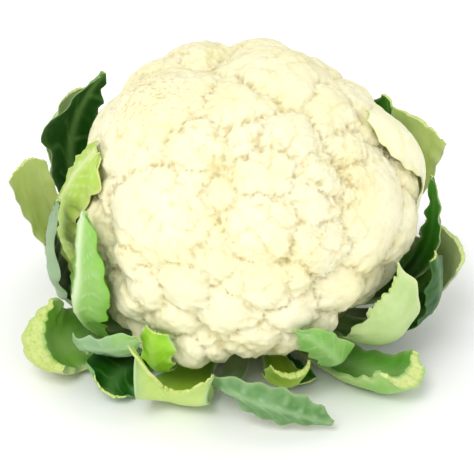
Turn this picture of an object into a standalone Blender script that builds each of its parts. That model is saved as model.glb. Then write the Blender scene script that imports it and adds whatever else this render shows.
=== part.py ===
"""Cauliflower head: one curd, its cut stem and the trimmed leaves around it.

The head is laid out in its own frame (millimetres): the origin is the middle of
the curd, +Z runs up the head's axis, azimuth 0 faces the front and grows toward
+X.  The finished head leans forward by HEAD_TILT and rests on the cut stem.
"""
import math

import bmesh
import bpy
import numpy as np

# ---------------------------------------------------------------- dimensions
HEAD_TILT = 14.0        # degrees the head's axis leans toward the front
CENTRE_HEIGHT = 74.0    # along the axis, from the ground to the curd's middle
CORE_RADIUS = 74.0      # depth of the clefts between florets
FLORET_ROUND = 1.32     # sphere radius of a floret over its footprint radius
UNDER_DROP = 52.0       # underside of the curd below its middle, at the stem
UNDER_SLOPE = 0.26      # rise of the underside toward the rim
STEM_RADIUS = 24.0
STEM_GAP = 0.35         # clearance between stem, leaves and curd
LEAF_GAP = 1.3
BLADE = 1.5             # leaf blade thickness
SKIN_ROUGHNESS = 0.6

TILT = math.radians(HEAD_TILT)

# name: azimuth, angle from the top, angular radius, height of the cap
FLORETS = [
    (-79, 38, 21, 91), (-118, 42, 12, 88), (-148, 40, 13, 87), (122, 17, 19, 87),
    (80, 31, 12, 86), (96, 47, 14, 86), (-17, 11, 14, 85), (-36, 32, 11, 86),
    (34, 29, 12, 86), (10, 38, 11, 86), (37, 43, 9, 86), (47, 53, 6, 83),
    (60, 64, 20, 86.5), (27, 50, 11, 86), (25, 63, 12, 86), (7, 55, 12, 87),
    (-12, 46, 9, 85), (-10, 64, 9, 86), (-37, 56, 21, 88), (-42, 74, 8, 86),
    (5, 74, 11, 86), (18, 73, 7, 85), (-22, 76, 10, 85), (-36, 83, 9, 86),
    (-44, 95, 11, 86), (-26, 96, 9, 85), (-4, 85, 10, 86), (15, 89, 11, 85),
    (2, 98, 10, 85), (37, 88, 13, 82), (52, 96, 11, 81), (-38, 113, 8, 88),
    (-29, 112, 6, 89), (-20, 110, 7, 89), (-10, 106, 6, 86), (14, 104, 8, 84),
    (28, 103, 8, 82), (76, 85, 15, 87.5), (98, 76, 17, 89), (-62, 76, 13, 86),
    (-66, 98, 14, 86), (-86, 72, 16, 87), (-90, 100, 15, 85), (-112, 66, 16, 87),
    (-116, 94, 15, 85), (-138, 70, 15, 86), (-143, 98, 14, 84), (-162, 60, 13, 86),
    (-168, 86, 16, 85), (168, 44, 15, 86), (172, 68, 12, 85), (145, 60, 17, 86),
    (152, 86, 14, 85), (124, 62, 14, 86), (124, 90, 15, 84), (100, 103, 13, 85),
    (160, 106, 11, 82), (-160, 108, 12, 82), (-178, 109, 9, 82), (76, 106, 10, 83),
    (136, 109, 11, 81), (-132, 113, 9, 82), (-104, 115, 9, 83), (-78, 115, 10, 84),
    (-57, 113, 8, 86), (0, 26, 9, 84), (62, 45, 9, 84), (-60, 62, 9, 84),
]


def unit(azimuth, polar):
    """Direction in the head frame from azimuth and angle off the top, in degrees."""
    a, p = np.radians(azimuth), np.radians(polar)
    return np.stack([np.sin(p) * np.sin(a), -np.sin(p) * np.cos(a), np.cos(p)], -1)


FLORET_DIR = unit(*np.array(FLORETS, float)[:, :2].T)
FLORET_TOP = np.array(FLORETS, float)[:, 3]
FLORET_BALL = FLORET_ROUND * FLORET_TOP * np.radians(np.array(FLORETS, float)[:, 2])
FLORET_BALL = np.clip(FLORET_BALL, 9.0, 44.0)


def curd_radius(d):
    """Distance from the curd's middle to its skin along unit directions d."""
    cos = np.clip(d @ FLORET_DIR.T, -1.0, 1.0)
    mid = FLORET_TOP - FLORET_BALL
    inside = FLORET_BALL ** 2 - mid ** 2 * (1.0 - cos ** 2)
    hit = mid * cos + np.sqrt(np.maximum(inside, 0.0))
    hit = np.where((inside > 0.0) & (cos > 0.0), hit, 0.0)
    down = np.maximum(-d[:, 2], 1e-6)
    flare = np.sqrt(np.maximum(1.0 - d[:, 2] ** 2, 0.0))
    under = UNDER_DROP / (down + UNDER_SLOPE * flare)
    core = np.where(d[:, 2] < 0.0, np.minimum(CORE_RADIUS, under), CORE_RADIUS)
    # below the rim the florets curl in and the stalks run to the stem
    fade = np.clip((d[:, 2] + 0.60) / 0.16, 0.0, 1.0)
    caps = core[:, None] + (hit - core[:, None]) * fade[:, None]
    return np.maximum(core, caps.max(1))


def to_world(points):
    """Head frame in millimetres to the finished part in metres."""
    c, s = math.cos(TILT), math.sin(TILT)
    x, y, z = points[:, 0], points[:, 1], points[:, 2]
    z = z + CENTRE_HEIGHT
    return np.stack([x, y * c - z * s, y * s + z * c], -1) * 0.001


def cylinder(points):
    """(azimuth, reach, height) rows to head-frame points."""
    a = np.radians(points[:, 0])
    return np.stack([points[:, 1] * np.sin(a), -points[:, 1] * np.cos(a), points[:, 2]], -1)


# -------------------------------------------------------------------- leaves
def smooth_path(ctrl, n):
    """n + 1 points at even spacing along a Catmull-Rom curve through ctrl."""
    p = np.vstack([2 * ctrl[0] - ctrl[1], ctrl, 2 * ctrl[-1] - ctrl[-2]])
    out = []
    for i in range(len(ctrl) - 1):
        t = np.linspace(0.0, 1.0, 24, endpoint=False)[:, None]
        a, b, c, d = p[i:i + 4]
        out.append(0.5 * (2 * b + (c - a) * t + (2 * a - 5 * b + 4 * c - d) * t ** 2
                          + (3 * b - a - 3 * c + d) * t ** 3))
    curve = np.vstack(out + [ctrl[-1:]])
    length = np.r_[0.0, np.cumsum(np.linalg.norm(np.diff(curve, axis=0), axis=1))]
    s = np.linspace(0.0, length[-1], n + 1)
    return np.stack([np.interp(s, length, curve[:, k]) for k in range(3)], -1)


def rows(values, s):
    """Interpolate rows of (s, a, b, ...) at s with eased steps."""
    v = np.array(values, float)
    i = np.clip(np.searchsorted(v[:, 0], s, side="right") - 1, 0, len(v) - 2)
    t = np.clip((s - v[i, 0]) / (v[i + 1, 0] - v[i, 0]), 0.0, 1.0)
    t = (t * t * (3.0 - 2.0 * t))[:, None]
    return v[i, 1:] * (1.0 - t) + v[i + 1, 1:] * t


def grid_normals(g):
    """Unit normals of a grid of points, toward the head."""
    du, dv = np.gradient(g, axis=0), np.gradient(g, axis=1)
    n = np.cross(du, dv)
    return n / np.maximum(np.linalg.norm(n, axis=2, keepdims=True), 1e-9)


def clear_curd(g, gap):
    """Push grid points that would sink into the curd back out of it."""
    flat = g.reshape(-1, 3)
    r = np.linalg.norm(flat, axis=1)
    limit = curd_radius(flat / r[:, None]) + gap
    return (flat * (np.maximum(r, limit) / r)[:, None]).reshape(g.shape)


def leaf_sheet(spec, nu, nv):
    """Inner face of a leaf as a (nu+1, 2nv+1) grid, and its thickness grid."""
    mid = smooth_path(cylinder(np.array(spec["path"], float)), nu)
    s = np.linspace(0.0, 1.0, nu + 1)
    tangent = np.gradient(mid, axis=0)
    tangent /= np.linalg.norm(tangent, axis=1, keepdims=True)
    aim = np.array([0.0, 0.0, spec.get("aim", 20.0)]) - mid
    inward = aim - (aim * tangent).sum(1, keepdims=True) * tangent
    inward /= np.linalg.norm(inward, axis=1, keepdims=True)
    across = np.cross(inward, tangent)
    turn = np.radians(rows(spec.get("twist", [(0, 0), (1, 0)]), s))
    inward, across = (inward * np.cos(turn) + across * np.sin(turn),
                      across * np.cos(turn) - inward * np.sin(turn))
    width = rows(spec["width"], s)
    bend = np.radians(rows(spec.get("cup", [(0, 20, 20), (1, 20, 20)]), s))
    roll = np.radians(rows(spec.get("roll", [(0, 0, 0), (1, 0, 0)]), s))
    fine = 6 * nv
    v = (np.arange(fine) + 0.5) / fine
    edge = np.clip((v - 0.5) / 0.5, 0.0, 1.0) ** 2
    sides = []
    for k, sign in ((0, -1.0), (1, 1.0)):
        angle = bend[:, k:k + 1] * v + roll[:, k:k + 1] * edge
        step = width[:, k:k + 1] / fine
        out = np.cumsum(np.cos(angle) * step, axis=1)[:, 5::6]
        up = np.cumsum(np.sin(angle) * step, axis=1)[:, 5::6]
        wave = spec.get("wave", (0.0, 2.0, 0.0))
        vv = np.arange(1, nv + 1) / nv
        up = up + wave[0] * vv ** 2 * np.sin(
            2 * math.pi * (wave[1] * s + wave[2] + 0.37 * k))[:, None] * np.sin(
            math.pi * np.clip(s * 1.1, 0, 1))[:, None]
        along = spec.get("flare", (0.0, 0.0))[k] * vv ** 1.5 * (s ** 2)[:, None]
        sides.append(mid[:, None] + sign * across[:, None] * out[..., None]
                     + inward[:, None] * up[..., None] + tangent[:, None] * along[..., None])
    sheet = np.concatenate([sides[0][:, ::-1], mid[:, None], sides[1]], axis=1)
    vfull = np.abs(np.arange(-nv, nv + 1) / nv)
    reach = np.concatenate([width[:, :1] * vfull[:nv], width[:, :1] * 0,
                            width[:, 1:] * vfull[nv + 1:]], axis=1)
    rib = rows(spec.get("rib", [(0, 5, 9), (1, 1, 3)]), s)
    thick = BLADE + rib[:, :1] * np.exp(-(reach / rib[:, 1:]) ** 2)
    return clear_curd(sheet, LEAF_GAP), thick


def leaf_solid(spec, nu=12, nv=3):
    """Vertices and faces of one leaf as a closed solid, head frame."""
    sheet, thick = leaf_sheet(spec, nu, nv)
    back = sheet - grid_normals(sheet) * thick[..., None]
    # an oblique cut leaves the outer side longer where the stalk is thick
    onward = sheet[-1] - sheet[-2]
    onward /= np.linalg.norm(onward, axis=1, keepdims=True)
    back[-1] += onward * (spec.get("slant", 0.0) * (thick[-1] - BLADE) / np.ptp(thick[-1]))[:, None]
    rows_n, cols = sheet.shape[:2]
    verts = np.vstack([sheet.reshape(-1, 3), back.reshape(-1, 3)])
    off = rows_n * cols
    faces = []
    for i in range(rows_n - 1):
        for j in range(cols - 1):
            a, b = i * cols + j, i * cols + j + 1
            c, d = a + cols, b + cols
            faces.append((a, c, d, b))
            faces.append((a + off, b + off, d + off, c + off))
    for i in range(rows_n - 1):
        for j, flip in ((0, False), (cols - 1, True)):
            a, c = i * cols + j, (i + 1) * cols + j
            quad = (a, a + off, c + off, c)
            faces.append(quad[::-1] if flip else quad)
    for j in range(cols - 1):
        for i, flip in ((0, True), (rows_n - 1, False)):
            a, b = i * cols + j, i * cols + j + 1
            quad = (a, a + off, b + off, b)
            faces.append(quad[::-1] if flip else quad)
    return verts, faces


LEAVES = {}


def leaf(name, **spec):
    LEAVES[name] = spec

# Leaves, named by where they stand.  Lengths are millimetres and angles degrees.  A row
# starts with its place along the leaf (0 to 1), except the path's rows, and gives the side
# toward lower azimuth before the side toward higher azimuth.
#   path: azimuth, reach and height     width: from the midline to each margin
#   cup: curl of each side inward       roll: more curl, in each side's outer half
#   rib: height and width of the stalk  twist: turn about the midline
#   flare: extra length of each margin  wave: height, count and start of the margins' ripple
#   slant: extra length of a cut end's outer side
#   aim: height on the head's axis that the inner face looks at
leaf("leaf_front_left_petiole", colour=(0.74, 0.84, 0.45),
     path=[(-26, 25.8, -60.5), (-24, 50, -56.5), (-22, 76, -50.5), (-21, 91, -45), (-21, 97, -31)],
     width=[(0, 4, 4.5), (0.35, 8.5, 9), (0.7, 17, 18), (1, 16, 23)],
     cup=[(0, 10, 10), (0.5, 24, 35), (1, 28, 42)], rib=[(0, 4, 6), (0.6, 3.5, 14), (1, 1, 18)],
     flare=(36, 16), aim=10)
leaf("leaf_front_draped", colour=(0.42, 0.60, 0.38),
     path=[(-2, 25.8, -60), (-3, 50, -55.5), (-5, 72, -47), (-7, 86, -35.5), (-3, 95, -28.5),
           (4, 101, -29), (12, 105, -34), (22, 110, -43)],
     width=[(0, 4.5, 4.5), (0.3, 6, 6), (0.5, 7, 7), (0.62, 9, 10), (0.8, 12, 11), (0.92, 9, 6),
            (1, 1.2, 1.2)],
     cup=[(0, 10, 10), (0.5, 10, 20), (1, 10, 10)], rib=[(0, 3.5, 5), (0.5, 1.5, 4), (1, 0.3, 3)],
     aim=-40)
leaf("leaf_front_stub", colour=(0.62, 0.74, 0.24),
     path=[(16.5, 25.8, -53), (16, 48, -51), (15.5, 68, -48.5), (15.5, 80, -42), (16, 85, -30)],
     width=[(0, 3.2, 3.2), (0.4, 6, 5), (0.8, 13, 9), (1, 14, 11)],
     cup=[(0, 10, 10), (0.6, 40, 40), (1, 65, 65)], rib=[(0, 3, 5), (1, 2.5, 9)])
leaf("leaf_front_right_petiole", colour=(0.72, 0.82, 0.50),
     path=[(40, 25.8, -60), (40, 52, -57), (42, 78, -52.5), (44.5, 97, -47.5), (46.5, 107, -39)],
     width=[(0, 4.5, 4.5), (0.4, 10, 10), (0.8, 17, 14), (1, 19, 15)],
     cup=[(0, 10, 10), (0.5, 40, 40), (1, 64, 50)], rib=[(0, 4, 6), (0.5, 4.5, 12), (1, 7.5, 14)],
     slant=5, aim=50)
leaf("leaf_left_petiole", colour=(0.66, 0.78, 0.40),
     path=[(-68, 25.8, -62), (-66, 56, -60), (-64, 86, -56), (-62.5, 103, -50), (-61, 112, -40)],
     width=[(0, 4.5, 4.5), (0.4, 11, 10), (0.8, 20, 17), (1, 24, 18)],
     cup=[(0, 10, 10), (0.5, 45, 35), (1, 68, 50)], rib=[(0, 4, 6), (0.5, 5, 12), (1, 8.5, 17)],
     slant=7, aim=40, twist=[(0, 0), (0.4, 0), (1, 22)])
leaf("leaf_low_left", colour=(0.22, 0.45, 0.16),
     path=[(-46, 25.8, -60.5), (-46.5, 52, -58), (-46, 76, -54.5), (-42.5, 93, -50), (-38, 104, -46)],
     width=[(0, 4, 4), (0.45, 8, 8), (0.75, 17, 13), (0.93, 20, 13), (1, 13, 8)],
     cup=[(0, 10, 10), (0.6, 30, 20), (1, 45, 20)], rib=[(0, 3, 5), (1, 1, 6)], aim=45)
leaf("leaf_left_strap", colour=(0.46, 0.62, 0.40),
     path=[(-44.5, 25.8, -53.5), (-44, 52, -51), (-45.5, 80, -44.5), (-51, 97, -36), (-50, 102, -29),
           (-43, 100, -23), (-36, 97, -16), (-31, 94, -8)],
     width=[(0, 1.9, 1.9), (0.4, 3.2, 3.2), (0.55, 5, 5), (0.7, 7, 7), (0.9, 8, 7), (1, 3, 3)],
     cup=[(0, 10, 10), (0.6, 20, 20), (1, 20, 20)], rib=[(0, 2.5, 4), (0.5, 1.2, 4), (1, 0.3, 3)])
leaf("leaf_left_curved", colour=(0.45, 0.66, 0.32),
     path=[(-58.5, 25.8, -53), (-58, 54, -50.5), (-58, 80, -43), (-58, 93, -22), (-55, 93, 6),
           (-56, 90, 26), (-59, 85, 38)],
     width=[(0, 3.2, 3.2), (0.3, 6.5, 6.5), (0.5, 12, 17), (0.75, 12, 20), (0.93, 8, 11), (1, 1.5, 1.5)],
     cup=[(0, 10, 10), (0.5, 30, 25), (1, 30, 30)], rib=[(0, 3, 5), (0.4, 3, 6), (1, 0.5, 4)])
leaf("leaf_left_rolled", colour=(0.42, 0.58, 0.38),
     path=[(-75.3, 25.8, -54), (-74.6, 56, -50.8), (-73.5, 81, -43.3), (-72, 93, -26), (-71, 98, -2),
           (-71, 97, 16), (-72, 92, 30)],
     width=[(0, 3.2, 3.2), (0.3, 6, 5), (0.5, 9, 11.5), (0.75, 9, 21), (0.93, 6, 12), (1, 1.5, 1.5)],
     cup=[(0, 10, 10), (0.6, 15, 35), (1, 15, 35)], roll=[(0, 0, 0), (0.5, 0, 75), (1, 0, 75)],
     twist=[(0, 0), (0.3, 0), (0.6, 30), (1, 30)], rib=[(0, 3, 5), (0.4, 2, 6), (1, 0.4, 4)])
leaf("leaf_left_cut", colour=(0.66, 0.76, 0.42),
     path=[(-93, 25.8, -62), (-93, 60, -60), (-94, 86, -49), (-97, 100, -16), (-100, 109, 17)],
     width=[(0, 4.5, 4.5), (0.35, 11, 11), (0.7, 10, 19), (1, 8, 23)],
     cup=[(0, 10, 10), (0.5, 20, 20), (1, 20, 35)], rib=[(0, 4, 6), (1, 2, 10)], aim=60,
     flare=(-6, 0), twist=[(0, 0), (0.5, 10), (1, 26)])
leaf("leaf_left_young", colour=(0.62, 0.76, 0.26),
     path=[(-92, 25.8, -53.5), (-92, 56, -50), (-88, 82, -38), (-84, 90, -12), (-80, 90, 14),
           (-75, 82, 38), (-72, 71, 56)],
     width=[(0, 3.2, 3.2), (0.4, 7, 8), (0.7, 14, 16), (0.93, 15, 16), (1, 6, 6)],
     cup=[(0, 10, 10), (0.6, 40, 50), (1, 40, 50)], wave=(1.2, 3.0, 0.2),
     rib=[(0, 3, 5), (0.5, 1.5, 5), (1, 0.3, 3)])
leaf("leaf_left_dark", colour=(0.16, 0.40, 0.10),
     path=[(-109, 25.8, -54), (-110, 60, -52), (-111, 88, -41), (-113, 98, -12), (-116, 99, 12),
           (-121, 94, 32), (-127, 88, 45)],
     width=[(0, 3.2, 3.2), (0.3, 8, 8), (0.55, 17, 16), (0.72, 16, 18), (0.8, 15, 29), (0.88, 12, 12),
            (0.95, 7, 7), (1, 1.5, 1.5)],
     cup=[(0, 10, 10), (0.5, 20, 20), (1, 30, 20)], rib=[(0, 3, 5), (0.5, 1.6, 6), (1, 0.4, 4)],
     twist=[(0, 0), (0.5, 5), (0.8, 15), (1, 10)])
leaf("leaf_back_left_pale", colour=(0.58, 0.70, 0.40),
     path=[(-125, 25.8, -64), (-125, 62, -63), (-125, 94, -52), (-125, 113, -24), (-125, 116, 4),
           (-127, 110, 24)],
     width=[(0, 5, 5), (0.3, 12, 12), (0.6, 24, 24), (0.85, 22, 24), (1, 14, 16)],
     cup=[(0, 10, 10), (0.5, 30, 30), (1, 30, 30)], rib=[(0, 4, 6), (0.5, 2, 8), (1, 0.6, 5)])
leaf("leaf_right_cup", colour=(0.62, 0.76, 0.42),
     path=[(55, 25.8, -53), (54, 54, -49.5), (52, 80, -39.5), (50, 93, -27), (49, 93, -10),
           (48, 88, 1)],
     width=[(0, 3.2, 3.2), (0.35, 8, 8), (0.6, 22, 16), (0.85, 24, 17), (1, 14, 13)],
     cup=[(0, 10, 10), (0.5, 45, 35), (1, 40, 25)], rib=[(0, 3, 5), (0.6, 3, 10), (1, 1, 8)],
     flare=(-8, 10), twist=[(0, 0), (0.5, 10), (0.8, 24), (1, 24)])
leaf("leaf_right_small", colour=(0.34, 0.62, 0.26),
     path=[(35.5, 25.8, -53), (35, 48, -50.5), (34, 70, -46), (31, 86, -31), (24, 89, -12),
           (15, 88, 3)],
     width=[(0, 3.2, 3.2), (0.4, 5, 7), (0.65, 10, 11), (0.85, 11, 8), (1, 1.5, 1.5)],
     cup=[(0, 10, 10), (0.6, 30, 30), (1, 20, 20)], rib=[(0, 3, 5), (0.5, 1.2, 4), (1, 0.3, 3)])
leaf("leaf_front_fan", colour=(0.55, 0.76, 0.20),
     path=[(-31, 25.8, -53), (-31.5, 50, -50), (-31, 71, -45), (-29.5, 85.5, -35), (-28, 90, -16),
           (-27.5, 90, -4)],
     width=[(0, 2.8, 2.8), (0.4, 5, 5), (0.65, 8, 9), (0.88, 9, 12), (1, 6, 9)],
     cup=[(0, 10, 10), (0.6, 30, 30), (1, 30, 30)], rib=[(0, 3, 5), (0.5, 1.2, 4), (1, 0.3, 3)])
leaf("leaf_right_dark", colour=(0.16, 0.38, 0.12),
     path=[(68, 25.8, -62), (69, 60, -59.5), (71, 87, -51), (70, 100, -34), (68, 101, -12), (67, 98, 4)],
     width=[(0, 4.5, 4.5), (0.3, 9, 9), (0.6, 13, 19), (0.85, 12, 16), (1, 4, 4)],
     cup=[(0, 10, 10), (0.5, 25, 30), (1, 25, 30)], rib=[(0, 4, 6), (0.5, 2, 7), (1, 0.5, 4)])
leaf("leaf_right_scoop", colour=(0.58, 0.72, 0.40),
     path=[(92, 25.8, -63), (92, 60, -61.5), (92, 88, -55), (90, 103, -42), (87, 109, -20)],
     width=[(0, 5, 5), (0.35, 11, 12), (0.7, 17, 22), (1, 16, 23)],
     cup=[(0, 10, 10), (0.5, 45, 45), (1, 58, 56)], rib=[(0, 4, 6), (0.6, 4, 12), (1, 1.8, 12)],
     twist=[(0, 0), (0.5, -8), (1, -30)])
leaf("leaf_right_thin", colour=(0.18, 0.40, 0.12),
     path=[(78, 25.8, -54), (80, 56, -51), (83, 81, -42), (86, 93, -20), (88, 94, 4), (89.5, 91, 22)],
     width=[(0, 4.5, 4.5), (0.4, 8, 7), (0.7, 15, 7.5), (0.9, 13, 4.5), (1, 1.5, 1.5)],
     cup=[(0, 10, 10), (0.6, 25, 25), (1, 20, 25)], rib=[(0, 3, 5), (0.5, 1.2, 4), (1, 0.3, 3)],
     twist=[(0, 0), (0.4, -5), (0.7, -18), (1, -22)])
leaf("leaf_right_cut", colour=(0.66, 0.76, 0.38),
     path=[(117, 25.8, -63), (117, 60, -61), (118, 88.5, -49.5), (120, 102, -18), (120, 105, 15)],
     width=[(0, 5, 5), (0.35, 13, 13), (0.6, 14, 18), (0.82, 20, 23), (1, 24, 24)],
     cup=[(0, 10, 10), (0.5, 20, 25), (1, 15, 30)], rib=[(0, 4, 6), (1, 2, 10)], aim=60,
     twist=[(0, 0), (0.5, -5), (1, -10)])
leaf("leaf_right_folded", colour=(0.20, 0.50, 0.10),
     path=[(131, 25.8, -54.5), (132, 62, -53), (130.5, 84, -41), (127, 90, -12), (124, 90.5, 12),
           (121, 85, 35)],
     width=[(0, 4.5, 4.5), (0.3, 10, 10), (0.6, 13, 16), (0.88, 11, 14), (1, 5, 5)],
     cup=[(0, 10, 10), (0.5, 35, 30), (1, 40, 35)], rib=[(0, 3, 5), (0.5, 1.8, 6), (1, 0.5, 4)])
leaf("leaf_right_young", colour=(0.82, 0.84, 0.52),
     path=[(105, 25.8, -53.5), (105, 58, -49), (104, 84, -36), (102, 91, -6), (98, 88.5, 20),
           (92, 79, 42), (86, 66, 58), (81, 57, 66)],
     width=[(0, 4.5, 4.5), (0.4, 11, 11), (0.65, 14, 15), (0.8, 16, 14), (0.93, 12, 12), (1, 3, 3)],
     cup=[(0, 10, 10), (0.6, 45, 42), (1, 52, 45)], wave=(0.6, 2.5, 0.1),
     rib=[(0, 3, 5), (0.5, 1.5, 5), (1, 0.3, 3)])
leaf("leaf_back_tall", colour=(0.30, 0.52, 0.20),
     path=[(-148, 25.8, -56), (-149, 62, -56), (-151, 88, -46), (-154, 96, -14), (-156, 92, 18),
           (-156, 82, 40), (-155, 74, 50)],
     width=[(0, 4.5, 4.5), (0.3, 12, 12), (0.6, 22, 22), (0.85, 15, 15), (1, 2, 2)],
     cup=[(0, 10, 10), (0.5, 30, 30), (1, 35, 35)], rib=[(0, 3, 5), (0.5, 2, 6), (1, 0.5, 4)])
leaf("leaf_back_outer", colour=(0.48, 0.64, 0.36),
     path=[(176, 25.8, -66), (176, 62, -68), (176, 96, -64), (176, 113, -40), (176, 113, -12),
           (176, 108, 8)],
     width=[(0, 5, 5), (0.3, 14, 14), (0.6, 28, 28), (0.85, 24, 24), (1, 10, 10)],
     cup=[(0, 10, 10), (0.5, 35, 35), (1, 45, 45)], rib=[(0, 4, 6), (0.5, 3, 9), (1, 1, 6)])
leaf("leaf_back_right", colour=(0.34, 0.54, 0.26),
     path=[(147, 25.8, -65), (148, 62, -64), (149, 94, -52), (151, 106, -24), (153, 105, 2),
           (155, 99, 18)],
     width=[(0, 5, 5), (0.3, 13, 13), (0.6, 24, 22), (0.88, 16, 14), (1, 2, 2)],
     cup=[(0, 10, 10), (0.5, 30, 30), (1, 35, 35)], rib=[(0, 4, 6), (0.5, 2, 6), (1, 0.5, 4)])
leaf("leaf_back_inner", colour=(0.52, 0.68, 0.30),
     path=[(-174, 25.8, -55), (-174, 60, -53), (-175, 84, -42), (-176, 92, -12), (-177, 90, 16),
           (-178, 86, 32)],
     width=[(0, 4.5, 4.5), (0.4, 10, 10), (0.7, 15, 15), (0.92, 9, 9), (1, 2, 2)],
     cup=[(0, 10, 10), (0.6, 40, 40), (1, 40, 40)], rib=[(0, 3, 5), (0.5, 1.5, 5), (1, 0.3, 3)])
leaf("leaf_under_right", colour=(0.16, 0.40, 0.10),
     path=[(20.5, 25.8, -61), (22, 50, -59.2), (24, 64, -56.5), (25.5, 75, -53.4)],
     width=[(0, 3.2, 3.2), (0.4, 7.5, 4.5), (0.8, 12, 6), (1, 9, 5)],
     cup=[(0, 10, 10), (0.6, 15, 20), (1, 15, 25)], rib=[(0, 3, 5), (0.5, 1, 5), (1, 0.4, 4)])


# ------------------------------------------------------------- other bodies
def curd_solid(levels=5):
    ball = bmesh.new()
    bmesh.ops.create_icosphere(ball, subdivisions=levels, radius=1.0)
    d = np.array([v.co[:] for v in ball.verts])
    d /= np.linalg.norm(d, axis=1, keepdims=True)
    faces = [tuple(v.index for v in f.verts) for f in ball.faces]
    ball.free()
    return d * curd_radius(d)[:, None], faces


def stem_solid(segs=28):
    """Cut stem: closed frustum whose lower face is the flat resting face."""
    top = -(UNDER_DROP + STEM_GAP)
    a = 2 * math.pi * np.arange(segs) / segs
    knob = 1.0 + 0.03 * np.sin(3 * a + 0.4) + 0.02 * np.sin(5 * a)
    ring = np.stack([np.sin(a), -np.cos(a)], -1) * knob[:, None]
    c, s = math.cos(TILT), math.sin(TILT)
    levels = []
    for t, r in ((0.0, 0.97), (0.5, 1.0), (1.0, 0.96)):
        xy = ring * (STEM_RADIUS * r)
        ground = -CENTRE_HEIGHT - xy[:, 1] * s / c
        levels.append(np.column_stack([xy, top * (1 - t) + ground * t]))
    verts = np.vstack(levels)
    faces = [tuple(range(segs)), tuple(range(3 * segs - 1, 2 * segs - 1, -1))]
    for lvl in (0, segs):
        for j in range(segs):
            k = (j + 1) % segs
            faces.append((lvl + j, lvl + segs + j, lvl + segs + k, lvl + k))
    return verts, faces


# ----------------------------------------------------------------- building
def material(name, colour, rough):
    m = bpy.data.materials.new(name)
    m.use_nodes = True
    node = m.node_tree.nodes["Principled BSDF"]
    node.inputs["Base Color"].default_value = (*colour, 1.0)
    node.inputs["Roughness"].default_value = rough
    m.diffuse_color = (*colour, 1.0)
    return m


def add_node(name, verts, faces, colour):
    mesh = bpy.data.meshes.new(name)
    mesh.from_pydata(verts.tolist(), [], faces)
    mesh.materials.append(material(name + "_skin", colour, SKIN_ROUGHNESS))
    mesh.shade_smooth()
    obj = bpy.data.objects.new(name, mesh)
    bpy.context.scene.collection.objects.link(obj)
    return obj


def main():
    for obj in list(bpy.data.objects):
        bpy.data.objects.remove(obj)
    solids = {"curd": (*curd_solid(), (0.93, 0.90, 0.74)),
              "stem": (*stem_solid(), (0.80, 0.84, 0.60))}
    for name, spec in LEAVES.items():
        solids[name] = (*leaf_solid(spec), spec["colour"])
    placed = {name: to_world(s[0]) for name, s in solids.items()}
    every = np.vstack(list(placed.values()))
    middle = (every.min(0) + every.max(0)) / 2
    middle[2] = 0.0
    for name, (_, faces, colour) in solids.items():
        add_node(name, placed[name] - middle, faces, colour)


main()
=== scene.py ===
"""Looks of the cauliflower head: floreted curd, veined and cut leaves, cut stem, studio light."""

import math

import bpy
import numpy as np
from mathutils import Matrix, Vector, kdtree


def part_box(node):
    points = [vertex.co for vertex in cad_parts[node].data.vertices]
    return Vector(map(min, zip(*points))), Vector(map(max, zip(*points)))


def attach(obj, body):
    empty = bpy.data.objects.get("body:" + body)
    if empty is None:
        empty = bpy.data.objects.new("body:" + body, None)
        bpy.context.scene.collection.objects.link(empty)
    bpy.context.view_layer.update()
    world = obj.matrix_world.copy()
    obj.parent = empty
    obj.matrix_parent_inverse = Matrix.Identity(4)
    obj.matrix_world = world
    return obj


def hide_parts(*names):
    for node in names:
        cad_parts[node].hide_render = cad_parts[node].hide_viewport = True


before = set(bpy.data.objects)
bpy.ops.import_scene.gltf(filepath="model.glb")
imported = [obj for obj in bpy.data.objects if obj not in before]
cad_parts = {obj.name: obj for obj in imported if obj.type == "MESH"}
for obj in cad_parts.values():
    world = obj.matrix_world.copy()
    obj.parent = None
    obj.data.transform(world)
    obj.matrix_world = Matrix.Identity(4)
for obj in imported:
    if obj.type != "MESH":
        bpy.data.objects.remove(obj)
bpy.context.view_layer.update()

# name: azimuth, angle from the top, angular radius, height of the cap
FLORETS = [
    (-79, 38, 21, 91), (-118, 42, 12, 88), (-148, 40, 13, 87), (122, 17, 19, 87),
    (80, 31, 12, 86), (96, 47, 14, 86), (-17, 11, 14, 85), (-36, 32, 11, 86),
    (34, 29, 12, 86), (10, 38, 11, 86), (37, 43, 9, 86), (47, 53, 6, 83),
    (60, 64, 20, 86.5), (27, 50, 11, 86), (25, 63, 12, 86), (7, 55, 12, 87),
    (-12, 46, 9, 85), (-10, 64, 9, 86), (-37, 56, 21, 88), (-42, 74, 8, 86),
    (5, 74, 11, 86), (18, 73, 7, 85), (-22, 76, 10, 85), (-36, 83, 9, 86),
    (-44, 95, 11, 86), (-26, 96, 9, 85), (-4, 85, 10, 86), (15, 89, 11, 85),
    (2, 98, 10, 85), (37, 88, 13, 82), (52, 96, 11, 81), (-38, 113, 8, 88),
    (-29, 112, 6, 89), (-20, 110, 7, 89), (-10, 106, 6, 86), (14, 104, 8, 84),
    (28, 103, 8, 82), (76, 85, 15, 87.5), (98, 76, 17, 89), (-62, 76, 13, 86),
    (-66, 98, 14, 86), (-86, 72, 16, 87), (-90, 100, 15, 85), (-112, 66, 16, 87),
    (-116, 94, 15, 85), (-138, 70, 15, 86), (-143, 98, 14, 84), (-162, 60, 13, 86),
    (-168, 86, 16, 85), (168, 44, 15, 86), (172, 68, 12, 85), (145, 60, 17, 86),
    (152, 86, 14, 85), (124, 62, 14, 86), (124, 90, 15, 84), (100, 103, 13, 85),
    (160, 106, 11, 82), (-160, 108, 12, 82), (-178, 109, 9, 82), (76, 106, 10, 83),
    (136, 109, 11, 81), (-132, 113, 9, 82), (-104, 115, 9, 83), (-78, 115, 10, 84),
    (-57, 113, 8, 86), (0, 26, 9, 84), (62, 45, 9, 84), (-60, 62, 9, 84),
]


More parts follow.
